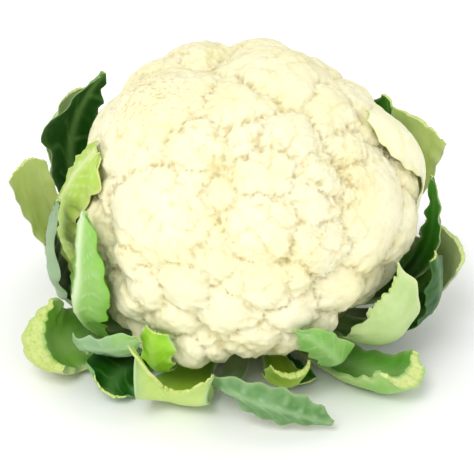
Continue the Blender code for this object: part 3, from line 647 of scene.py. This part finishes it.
leaf("leaf_right_scoop",
     path=[(92, 25.8, -63), (92, 60, -61.5), (92, 88, -55), (90, 103, -42), (87, 109, -20)],
     width=[(0, 5, 5), (0.35, 11, 12), (0.7, 17, 22), (1, 16, 23)],
     cup=[(0, 10, 10), (0.5, 45, 45), (1, 58, 56)], rib=[(0, 4, 6), (0.6, 4, 12), (1, 1.8, 12)],
     twist=[(0, 0), (0.5, -8), (1, -30)])
leaf("leaf_right_thin",
     path=[(78, 25.8, -54), (80, 56, -51), (83, 81, -42), (86, 93, -20), (88, 94, 4), (89.5, 91, 22)],
     width=[(0, 4.5, 4.5), (0.4, 8, 7), (0.7, 15, 7.5), (0.9, 13, 4.5), (1, 1.5, 1.5)],
     cup=[(0, 10, 10), (0.6, 25, 25), (1, 20, 25)], rib=[(0, 3, 5), (0.5, 1.2, 4), (1, 0.3, 3)],
     twist=[(0, 0), (0.4, -5), (0.7, -18), (1, -22)])
leaf("leaf_right_cut",
     path=[(117, 25.8, -63), (117, 60, -61), (118, 88.5, -49.5), (120, 102, -18), (120, 105, 15)],
     width=[(0, 5, 5), (0.35, 13, 13), (0.6, 14, 18), (0.82, 20, 23), (1, 24, 24)],
     cup=[(0, 10, 10), (0.5, 20, 25), (1, 15, 30)], rib=[(0, 4, 6), (1, 2, 10)], aim=60,
     twist=[(0, 0), (0.5, -5), (1, -10)])
leaf("leaf_right_folded",
     path=[(131, 25.8, -54.5), (132, 62, -53), (130.5, 84, -41), (127, 90, -12), (124, 90.5, 12),
           (121, 85, 35)],
     width=[(0, 4.5, 4.5), (0.3, 10, 10), (0.6, 13, 16), (0.88, 11, 14), (1, 5, 5)],
     cup=[(0, 10, 10), (0.5, 35, 30), (1, 40, 35)], rib=[(0, 3, 5), (0.5, 1.8, 6), (1, 0.5, 4)])
leaf("leaf_right_young",
     path=[(105, 25.8, -53.5), (105, 58, -49), (104, 84, -36), (102, 91, -6), (98, 88.5, 20),
           (92, 79, 42), (86, 66, 58), (81, 57, 66)],
     width=[(0, 4.5, 4.5), (0.4, 11, 11), (0.65, 14, 15), (0.8, 16, 14), (0.93, 12, 12), (1, 3, 3)],
     cup=[(0, 10, 10), (0.6, 45, 42), (1, 52, 45)], wave=(0.6, 2.5, 0.1),
     rib=[(0, 3, 5), (0.5, 1.5, 5), (1, 0.3, 3)])
leaf("leaf_back_tall",
     path=[(-148, 25.8, -56), (-149, 62, -56), (-151, 88, -46), (-154, 96, -14), (-156, 92, 18),
           (-156, 82, 40), (-155, 74, 50)],
     width=[(0, 4.5, 4.5), (0.3, 12, 12), (0.6, 22, 22), (0.85, 15, 15), (1, 2, 2)],
     cup=[(0, 10, 10), (0.5, 30, 30), (1, 35, 35)], rib=[(0, 3, 5), (0.5, 2, 6), (1, 0.5, 4)])
leaf("leaf_back_outer",
     path=[(176, 25.8, -66), (176, 62, -68), (176, 96, -64), (176, 113, -40), (176, 113, -12),
           (176, 108, 8)],
     width=[(0, 5, 5), (0.3, 14, 14), (0.6, 28, 28), (0.85, 24, 24), (1, 10, 10)],
     cup=[(0, 10, 10), (0.5, 35, 35), (1, 45, 45)], rib=[(0, 4, 6), (0.5, 3, 9), (1, 1, 6)])
leaf("leaf_back_right",
     path=[(147, 25.8, -65), (148, 62, -64), (149, 94, -52), (151, 106, -24), (153, 105, 2),
           (155, 99, 18)],
     width=[(0, 5, 5), (0.3, 13, 13), (0.6, 24, 22), (0.88, 16, 14), (1, 2, 2)],
     cup=[(0, 10, 10), (0.5, 30, 30), (1, 35, 35)], rib=[(0, 4, 6), (0.5, 2, 6), (1, 0.5, 4)])
leaf("leaf_back_inner",
     path=[(-174, 25.8, -55), (-174, 60, -53), (-175, 84, -42), (-176, 92, -12), (-177, 90, 16),
           (-178, 86, 32)],
     width=[(0, 4.5, 4.5), (0.4, 10, 10), (0.7, 15, 15), (0.92, 9, 9), (1, 2, 2)],
     cup=[(0, 10, 10), (0.6, 40, 40), (1, 40, 40)], rib=[(0, 3, 5), (0.5, 1.5, 5), (1, 0.3, 3)])
# A low dark leaf under the front right, standing partly for the shade under the head.
leaf("leaf_under_right",
     path=[(20.5, 25.8, -61), (22, 50, -59.2), (24, 64, -56.5), (25.5, 75, -53.4)],
     width=[(0, 3.2, 3.2), (0.4, 7.5, 4.5), (0.8, 12, 6), (1, 9, 5)],
     cup=[(0, 10, 10), (0.6, 15, 20), (1, 15, 25)], rib=[(0, 3, 5), (0.5, 1, 5), (1, 0.4, 4)])


# ---- looks per leaf ----
# Each leaf changes some of these.  _show is how strongly a part's own colour covers the face,
# fade is where along the leaf the face takes its tip colour, and lengths are millimetres:
# ruffle and pucker bend the surface, rag and tear roughen the margins and the end, and vein is
# the side veins' height, vein_gap apart and leaning toward the tip.  blade is the thickness.
PLAIN = dict(
    inner="6f9e3a", outer="8db26d", rib_colour="cddba8", rib_show=0.7, vein_colour="bed399",
    vein_show=0.55, margin="c4cf9a", margin_show=0.5, cut="ccd789", cut_dark="a9bc53", mottle=0.35,
    mottle_colour="9cb662", fade=(0.45, 0.9), gloss=0.42, ruffle=0.8, rag=0.08, tear=1.2, vein=0.35,
    vein_gap=11.0, lean=0.9, blade=0.9, pucker=0.5,
)
LOOKS = {
    "leaf_front_left_petiole": dict(
        outer="d4e39f", outer_tip="c4db7e", inner="8cb62d", inner_tip="a6c647", mottle_colour="b4cd62",
        rib_show=0.0, vein_show=0.15, tear=5.0, vein=0.15, pucker=0.25, margin="a3c096", margin_show=0.7),
    "leaf_front_draped": dict(
        outer="68905c", outer_tip="548442", inner="5b9046", vein_colour="a6c296", rib_colour="a8c695",
        rib_show=0.45, ruffle=0.9, rag=0.14, vein_gap=9.0, gloss=0.5, mottle_colour="8fb180",
        margin_show=0.3),
    "leaf_front_stub": dict(
        outer="a6c42e", outer_tip="9ebe24", inner="83a90f", inner_tip="8dab2e", rib_colour="b4cd4a",
        rib_show=0.5, mottle_colour="509811", mottle=0.5, vein_show=0.1, vein=0.1, tear=2.0),
    "leaf_front_right_petiole": dict(
        outer="aaca7b", outer_tip="96c263", inner="509a10", inner_tip="4a960f", mottle_colour="63a92a",
        rib_show=0.3, vein_show=0.1, vein=0.1, tear=2.4, cut="d0db91", cut_dark="b5c867"),
    "leaf_left_petiole": dict(
        mottle=0.15, outer="c5d189", outer_tip="c1cd7f", inner="2c6c04", inner_tip="6ea92e", rib_show=0.2,
        vein_show=0.1, vein=0.1, tear=3.0, cut="ccd987", cut_dark="a7be4a"),
    "leaf_low_left": dict(
        inner="0e4302", inner_tip="195606", outer="88af7e", outer_tip="74a963", vein_colour="6aa155",
        rib_colour="73a95d", rib_show=0.4, ruffle=1.3, rag=0.14, margin="7dad70", mottle=0.2,
        mottle_colour="3b7329"),
    "leaf_left_strap": dict(
        outer="82a577", outer_tip="82b447", inner="6fa34f", inner_tip="91c62c", fade=(0.8, 0.98),
        vein_show=0.3, rib_colour="a7c495", rib_show=0.5, ruffle=1.2, rag=0.15, mottle_colour="90b382",
        margin="b0caa1", gloss=0.5),
    "leaf_left_curved": dict(
        outer="80b04e", outer_tip="94be63", inner="4b9022", rib_colour="d4e4b8", rib_show=0.85,
        vein_colour="b4d394", vein_show=0.6, margin="73b62b", margin_show=0.8, ruffle=1.2, rag=0.14,
        vein=0.45, mottle_colour="76b154"),
    # Its near-black inner colours are painted shade: the inner face lies in shadow.
    "leaf_left_rolled": dict(
        outer="95ab89", outer_tip="8ba57d", inner="052401", inner_tip="0a3803", vein_colour="a8bc9f",
        vein_show=0.4, rib_colour="7aa364", rib_show=0.3, mottle_colour="879085", margin="8fa983",
        ruffle=1.4, rag=0.15, gloss=0.5),
    "leaf_left_cut": dict(
        inner="bed374", inner_tip="c4d780", outer="ccd79e", outer_tip="c1cc99", rib_show=0.15,
        vein_show=0.15, vein=0.15, margin="c5cf9f", margin_show=0.9, tear=2.0, mottle_colour="aac652",
        mottle=0.3),
    "leaf_left_young": dict(
        inner="9ec037", inner_tip="a6c641", outer="a6c652", outer_tip="acca5a", rib_colour="d4dda4",
        vein_colour="ccd993", vein_show=0.6, margin="d5d989", margin_show=0.8, ruffle=1.8, rag=0.18,
        pucker=1.4, vein=0.5, vein_gap=7.0, mottle_colour="89a919"),
    "leaf_left_dark": dict(
        inner="114d00", inner_tip="104b00", outer="6f9a56", vein_colour="7aab5d", vein_show=0.45,
        rib_colour="82b165", rib_show=0.5, margin="97b879", margin_show=0.25, ruffle=1.2, mottle=0.15,
        mottle_colour="144d01", vein_gap=14.0, rag=0.1),
    "leaf_back_left_pale": dict(
        inner="a9be76", inner_tip="b1c287", outer="b1c482", outer_tip="b3c487", rib_show=0.3,
        vein_show=0.2, margin="bbc895", mottle_colour="97b154", rag=0.14),
    "leaf_right_cup": dict(
        outer="b4cc86", outer_tip="bacf8c", inner="367b13", inner_tip="498c27", rib_show=0.2,
        vein_show=0.2, vein=0.15, margin="d4dfa4", margin_show=0.9, tear=3.0, mottle_colour="96bc61",
        rag=0.15),
    "leaf_right_small": dict(
        outer="7ead50", outer_tip="82af56", inner="64a12f", inner_tip="68a335", vein_colour="9fcc7f",
        rib_colour="a5cd86", rib_show=0.5, ruffle=1.0, rag=0.2, margin="b0cf8a", margin_show=0.35,
        mottle_colour="4a9f25"),
    "leaf_front_fan": dict(
        outer="91c82b", outer_tip="95cc2f", inner="8bc621", inner_tip="91ca27", rib_colour="b3d55f",
        rib_show=0.4, vein_colour="afd354", ruffle=1.2, rag=0.25, mottle_colour="76bc0d"),
    "leaf_right_dark": dict(
        outer="144508", inner="0e3a03", inner_tip="16490a", rib_colour="6fa34f", rib_show=0.3,
        vein_colour="55903c", vein_show=0.35, mottle_colour="286416", margin="679051", margin_show=0.3,
        ruffle=1.5, rag=0.2),
    "leaf_right_scoop": dict(
        inner="2a7000", inner_tip="c4d594", outer="a1b682", outer_tip="b5c29a", fade=(0.62, 0.97),
        rib_show=0.0, vein_show=0.1, vein=0.1, margin="bfca9f", margin_show=0.8, mottle=0.15, tear=2.5),
    "leaf_right_thin": dict(
        outer="103d04", outer_tip="236a0b", inner="0f4302", inner_tip="30860c", vein_colour="529031",
        vein_show=0.3, rib_colour="659a45", rib_show=0.3, mottle_colour="1e560c", ruffle=1.5, rag=0.2),
    "leaf_right_cut": dict(
        inner="bacf44", inner_tip="cedd88", outer="bbc88a", outer_tip="c3cd9f", rib_show=0.1,
        vein_show=0.12, vein=0.12, margin="c5cfa5", margin_show=0.8, tear=2.0, mottle_colour="8daf23",
        mottle=0.25),
    "leaf_right_folded": dict(
        outer="287f00", outer_tip="257b00", inner="247701", inner_tip="227100", vein_colour="6dad39",
        vein_show=0.4, rib_colour="78b147", rib_show=0.4, mottle_colour="1d6800", mottle=0.2),
    "leaf_right_young": dict(
        outer="f0edc8", outer_tip="f3f0cc", inner="d9db93", rib_show=0.2, rib_colour="f0eece",
        vein_show=0.2, vein=0.1, margin="cdcf5f", margin_show=0.35, mottle_colour="d9db9e", rag=0.12,
        pucker=0.6),
    # Its dark greens are partly painted shade: this low leaf darkens the gap under the head.
    "leaf_under_right": dict(
        inner="1d5808", inner_tip="216009", outer="38731f", vein_colour="659a45", rib_colour="6f9f4f",
        rib_show=0.4, mottle=0.15, mottle_colour="154905", margin="6f9a56", margin_show=0.4),
    "leaf_back_tall": dict(
        outer="65963f", outer_tip="60863c", inner="518c27", inner_tip="578c2d", ruffle=1.4, rag=0.2,
        margin="8ea34f"),
    "leaf_back_outer": dict(
        outer="8db171", outer_tip="79a55d", ruffle=1.8, rag=0.2),
    "leaf_back_right": dict(
        outer="77a555", outer_tip="6b9d49", ruffle=1.6, rag=0.2),
    "leaf_back_inner": dict(
        outer="96bc5b", outer_tip="8cb64d", ruffle=1.4, rag=0.2),
}


# ---- materials ----
def linear(srgb):
    """An sRGB colour in hexadecimal to linear RGBA."""
    c = np.array(list(bytes.fromhex(srgb)), float) / 255.0
    c = np.where(c <= 0.04045, c / 12.92, ((c + 0.055) / 1.055) ** 2.4)
    return (*c.tolist(), 1.0)


class Shader:
    """A Principled material with short calls for the nodes the head needs."""

    def __init__(self, name, roughness, subsurface, radius, scale):
        self.material = bpy.data.materials.new(name)
        self.material.use_nodes = True
        self.tree = self.material.node_tree
        self.skin = self.tree.nodes["Principled BSDF"]
        self.skin.inputs["Roughness"].default_value = roughness
        self.skin.inputs["Subsurface Weight"].default_value = subsurface
        self.skin.inputs["Subsurface Radius"].default_value = radius
        self.skin.inputs["Subsurface Scale"].default_value = scale
        self.where = self.node("ShaderNodeTexCoord").outputs["Object"]

    def node(self, kind, **settings):
        made = self.tree.nodes.new(kind)
        for key, value in settings.items():
            setattr(made, key, value)
        return made

    def link(self, a, b):
        self.tree.links.new(a, b)

    def mark(self, name):
        return self.node("ShaderNodeAttribute", attribute_name=name).outputs["Fac"]

    def noise(self, size_mm, detail=3.0):
        made = self.node("ShaderNodeTexNoise")
        made.inputs["Scale"].default_value = 1000.0 / size_mm
        made.inputs["Detail"].default_value = detail
        self.link(self.where, made.inputs["Vector"])
        return made.outputs["Fac"]

    def bubbles(self, size_mm):
        made = self.node("ShaderNodeTexVoronoi")
        made.inputs["Scale"].default_value = 1000.0 / size_mm
        self.link(self.where, made.inputs["Vector"])
        return made.outputs["Distance"]

    def ramp(self, value, low, high, top=1.0):
        made = self.node("ShaderNodeMapRange", interpolation_type="SMOOTHSTEP")
        self.link(value, made.inputs["Value"])
        made.inputs["From Min"].default_value = low
        made.inputs["From Max"].default_value = high
        made.inputs["To Max"].default_value = top
        return made.outputs["Result"]

    def times(self, a, b):
        made = self.node("ShaderNodeMath", operation="MULTIPLY")
        for value, socket in zip((a, b), made.inputs):
            if isinstance(value, float):
                socket.default_value = value
            else:
                self.link(value, socket)
        return made.outputs["Value"]

    def mix(self, amount, under, over):
        """Colour under, covered by colour over as far as amount."""
        made = self.node("ShaderNodeMix", data_type="RGBA")
        sockets = [s for s in made.inputs if s.type == "RGBA"]
        self.link(amount, made.inputs["Factor"])
        for value, socket in zip((under, over), sockets):
            if isinstance(value, tuple):
                socket.default_value = value
            else:
                self.link(value, socket)
        return [s for s in made.outputs if s.type == "RGBA"][0]

    def blend(self, amount, under, over):
        return self.mix(amount, linear(under), linear(over))

    def stain(self, colour, srgb, *amounts):
        """The colour, stained with an sRGB colour as far as the amounts' product."""
        amount = amounts[0]
        for factor in amounts[1:]:
            amount = self.times(amount, factor)
        return self.mix(amount, colour, linear(srgb))

    def bump(self, height, strength, distance_mm, onto=None):
        made = self.node("ShaderNodeBump")
        made.inputs["Strength"].default_value = strength
        made.inputs["Distance"].default_value = distance_mm * 0.001
        self.link(height, made.inputs["Height"])
        if onto is not None:
            self.link(onto, made.inputs["Normal"])
        return made.outputs["Normal"]

    def finish(self, colour, normal):
        self.link(colour, self.skin.inputs["Base Color"])
        self.link(normal, self.skin.inputs["Normal"])
        return self.material


def curd_material():
    """Cream flesh, darkened and yellowed by painted shade in the grooves, clefts and pits, with an olive
    underside that is partly painted shade, specks and a scorched patch.
    """
    m = Shader("curd_flesh", 0.6, 0.3, (1.0, 0.9, 0.6), 0.003)
    cream = m.blend(m.ramp(m.noise(26.0, 2.0), 0.35, 0.7), *CURD_CREAM)
    # Painted shade in the grooves of the three knob sizes, broken up by noise.
    colour = m.stain(cream, CURD_GRAIN_SHADE, m.mark("grain_shade"), m.ramp(m.noise(9.0, 2.0), 0.40, 0.66), 0.30)
    broken = m.ramp(m.noise(6.0, 3.0), 0.38, 0.62)
    colour = m.stain(colour, CURD_FINE_SHADE, m.mark("fine"), broken, 0.5)
    colour = m.stain(colour, CURD_CRACK_SHADE, m.mark("crack_shade"), broken, 0.75)
    spotty = m.ramp(m.noise(3.0, 3.0), 0.36, 0.66)
    # Painted shade in the clefts between florets and in the deep pits.
    colour = m.stain(colour, CURD_CLEFT_SHADE, m.mark("cleft_shade"), spotty, 0.8)
    colour = m.stain(colour, CURD_PIT_SHADE, m.mark("pit_shade"), spotty, 0.85)
    # The underside's olive: real colour near the stalks, painted shade where the knobs face down.
    olive = m.ramp(m.noise(15.0, 2.0), 0.38, 0.66)
    colour = m.stain(colour, CURD_OLIVE_AND_SHADE, m.mark("under"), olive, 0.55)
    specks = m.ramp(m.noise(1.6, 2.0), 0.62, 0.72)
    colour = m.stain(colour, CURD_SPECK, specks, m.ramp(m.noise(14.0, 1.0), 0.46, 0.62), 0.35)
    scorched = m.ramp(m.noise(1.7, 2.0), 0.52, 0.66)
    colour = m.stain(colour, CURD_SCORCH, scorched, m.mark("scorch"), 0.55)
    grains = m.bump(m.bubbles(1.35), -0.7, 0.45)
    return m.finish(colour, m.bump(m.noise(0.7, 2.0), 0.25, 0.15, grains))


def leaf_material(name, look):
    """Leaf skin: inner and outer face, veins, rib and margin, pale root, fibrous cut."""
    m = Shader(name + "_skin", look["gloss"], 0.06, (0.8, 1.0, 0.4), 0.001)
    m.skin.inputs["Specular IOR Level"].default_value = 0.18
    tip = m.ramp(m.mark("along"), *look["fade"])
    inner = m.blend(tip, look["inner"], look.get("inner_tip", look["inner"]))
    outer = m.blend(tip, look["outer"], look.get("outer_tip", look["outer"]))
    colour = m.mix(m.mark("inner"), outer, inner)
    blotch = m.ramp(m.noise(7.0, 4.0), 0.35, 0.68)
    colour = m.stain(colour, look["mottle_colour"], blotch, look["mottle"])
    colour = m.stain(colour, look["vein_colour"], m.mark("vein"), look["vein_show"])
    colour = m.stain(colour, look["rib_colour"], m.mark("rib"), look["rib_show"])
    colour = m.stain(colour, look["margin"], m.mark("margin"), look["margin_show"])
    colour = m.stain(colour, LEAF_ROOT, m.ramp(m.mark("along"), 0.42, 0.12), 0.85)
    fibre = m.blend(m.ramp(m.noise(1.6, 3.0), 0.45, 0.75, 0.7), look["cut"], look["cut_dark"])
    colour = m.mix(m.mark("cut"), colour, fibre)
    cells_bump = m.bump(m.noise(1.6, 3.0), 0.30, 0.20)
    return m.finish(colour, m.bump(m.noise(5.0, 2.0), 0.30, 0.45, cells_bump))


def stem_material():
    """Pale rind with leaf scars, and a pithy cut face."""
    m = Shader("stem_skin", 0.55, 0.2, (0.8, 1.0, 0.4), 0.002)
    rind = m.blend(m.ramp(m.noise(9.0, 3.0), 0.4, 0.65), *STEM_RIND)
    pith = m.blend(m.ramp(m.noise(2.0, 4.0), 0.42, 0.62), *STEM_PITH)
    pith = m.stain(pith, STEM_RING, m.mark("ring"))
    colour = m.mix(m.mark("cut"), rind, pith)
    colour = m.stain(colour, STEM_SCAR, m.mark("scar"), 0.6)
    return m.finish(colour, m.bump(m.noise(1.2, 3.0), 0.5, 0.3))


# ---- stem ----
def build_stem():
    """The cut stem: a lumpy barrel, leaf scars, and flat ends with rings of pith."""
    segs, levels = STEM_SEGMENTS, STEM_LEVELS
    t = np.linspace(0, 1, levels)
    rings = stem_rings(segs, t, 0.965 + 0.035 * np.sin(math.pi * t))
    flat = rings.reshape(-1, 3)
    lump = 0.35 * waves(flat, 5.0, 77)[:, 0]
    level = np.repeat(t, segs)
    keep = np.clip(np.minimum(level, 1 - level) * 8, 0, 1)
    scale = 1 - keep * (0.35 + lump) / STEM_RADIUS
    flat = flat * np.column_stack([scale, scale, np.ones_like(scale)])
    verts = [flat]
    scar = np.clip(waves(flat, 4.0, 78)[:, 0] * 2, 0, 1) * keep
    marks = {"cut": [np.zeros(len(flat))], "ring": [np.zeros(len(flat))], "scar": [scar]}
    faces = []
    for i in range(levels - 1):
        for j in range(segs):
            k = (j + 1) % segs
            a, b = i * segs, (i + 1) * segs
            faces.append((a + j, b + j, b + k, a + k))
    for start, flip in ((0, True), ((levels - 1) * segs, False)):
        edge = flat[start:start + segs]
        middle = edge.mean(0)
        previous = start
        base = sum(len(v) for v in verts)
        for step in range(1, PITH_RINGS):
            share = 1 - step / PITH_RINGS
            ring = middle + (edge - middle) * share
            verts.append(ring)
            marks["cut"].append(np.ones(segs))
            marks["ring"].append(np.full(segs, math.exp(-((share - 0.78) / 0.08) ** 2)))
            marks["scar"].append(np.zeros(segs))
            for j in range(segs):
                k = (j + 1) % segs
                quad = (previous + j, previous + k, base + k, base + j)
                faces.append(quad if flip else quad[::-1])
            previous = base
            base += segs
        last = tuple(previous + j for j in range(segs))
        faces.append(last if flip else last[::-1])
    attributes = {key: np.concatenate(value) for key, value in marks.items()}
    obj = make_object("stem_butt", placed(np.vstack(verts)), faces, attributes, 50)
    obj.data.materials.append(stem_material())
    hand_in(obj, "stem")


# ---- studio ----
def paper_material():
    """White paper, with a faint glow away from the head that keeps it white."""
    m = Shader("studio_paper", 0.9, 0.0, (1.0, 1.0, 1.0), 0.001)
    m.skin.inputs["Base Color"].default_value = (0.9, 0.9, 0.9, 1.0)
    away = m.node("ShaderNodeVectorMath", operation="LENGTH")
    m.link(m.where, away.inputs[0])
    m.link(m.ramp(away.outputs["Value"], *GLOW_REACH), m.skin.inputs["Emission Color"])
    m.skin.inputs["Emission Strength"].default_value = PAPER_GLOW
    return m.material


def build_studio():
    """White paper, an even white sky, and a soft key and fill light."""
    scene = bpy.context.scene
    bpy.ops.mesh.primitive_plane_add(size=6.0)
    floor = bpy.context.object
    floor.name = "studio_floor"
    floor.data.materials.append(paper_material())
    world = bpy.data.worlds.new("studio_world")
    world.use_nodes = True
    world.node_tree.nodes["Background"].inputs["Color"].default_value = (1, 1, 1, 1)
    world.node_tree.nodes["Background"].inputs["Strength"].default_value = WORLD_LIGHT
    scene.world = world
    scene.view_settings.view_transform = "Standard"
    for name, energy, size, place in LAMPS:
        lamp = bpy.data.lights.new(name, "AREA")
        lamp.energy = energy
        lamp.size = size
        obj = bpy.data.objects.new(name, lamp)
        obj.location = place
        aim = LAMP_AIM - Vector(place)
        obj.rotation_euler = aim.to_track_quat("-Z", "Y").to_euler()
        scene.collection.objects.link(obj)


def build_camera():
    """Looks down on the head's front; the curd's middle sits just off the picture's middle."""
    scene = bpy.context.scene
    camera = bpy.data.cameras.new("camera")
    camera.lens = CAMERA_LENS
    camera.sensor_width = CAMERA_SENSOR
    obj = bpy.data.objects.new("camera", camera)
    tilt = math.radians(CAMERA_RISE)
    forward = Vector((0.0, math.cos(tilt), -math.sin(tilt)))
    up = Vector((0.0, math.sin(tilt), math.cos(tilt)))
    target = Vector(placed(np.zeros((1, 3)))[0]) + Vector((CAMERA_ASIDE, 0, 0)) + up * CAMERA_DROP
    distance = PICTURE_WIDTH * CAMERA_LENS / CAMERA_SENSOR
    obj.location = target - forward * distance
    obj.rotation_euler = forward.to_track_quat("-Z", "Y").to_euler()
    camera.clip_start = 0.01
    scene.collection.objects.link(obj)
    scene.camera = obj


build_curd()
build_stem()
for number, (leaf_name, leaf_spec) in enumerate(LEAVES.items()):
    leaf_piece(leaf_name, leaf_spec, {**PLAIN, **LOOKS[leaf_name]}, LEAF_SEED + LEAF_SEED_STEP * number)
build_studio()
build_camera()
